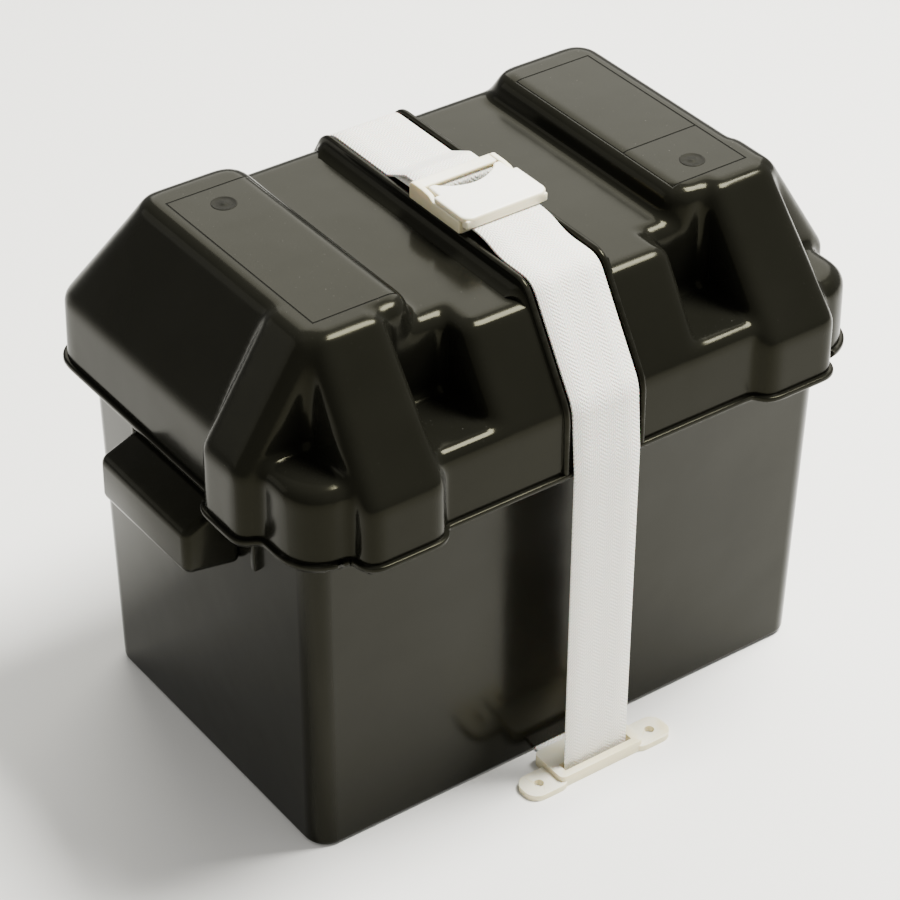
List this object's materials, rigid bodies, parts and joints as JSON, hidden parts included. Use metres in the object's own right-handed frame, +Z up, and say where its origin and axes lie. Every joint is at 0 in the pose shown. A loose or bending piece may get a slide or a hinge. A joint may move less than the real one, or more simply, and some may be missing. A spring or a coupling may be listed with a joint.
{
  "type": "battery box",
  "caption": "Vented battery box: black moulded tub with end handles, lift-off lid with strap seat, white webbing strap with cam buckle, and hold-down brackets.",
  "frame": {"origin": "on the floor, under the middle of the tub and of the two brackets", "axes": "+Z up; X along the tub's long side, through both handles; +Y towards the back, along the strap; the notched side of the lid faces -Y"},
  "size_m": [0.3604, 0.252, 0.2816],
  "materials": {
    "black_plastic": "glossy moulded black polypropylene",
    "webbing": "white woven polypropylene webbing",
    "white_nylon": "white moulded nylon, slightly see-through at the edges",
    "natural_nylon": "natural moulded nylon, satin"
  },
  "bodies": {
    "tub": {"tub": "black_plastic", "strap_sling": "webbing", "bracket_front": "natural_nylon", "bracket_back": "natural_nylon"},
    "lid": {"lid": "black_plastic", "strap_front_run": "webbing", "strap_rear_run": "webbing", "buckle_frame": "natural_nylon"},
    "lever": {"buckle_lever": "white_nylon"}
  },
  "joints": [
    {"name": "lid_lift", "type": "slide", "parent": "tub", "child": "lid", "axis": [0, 0, 1], "range_m": [0, 0.1]},
    {"name": "lever_tilt", "type": "hinge", "parent": "lid", "child": "lever", "pos_m": [0, -0.0055, 0.2774], "axis": [-1, 0, 0], "range_deg": [0, 95]}
  ]
}
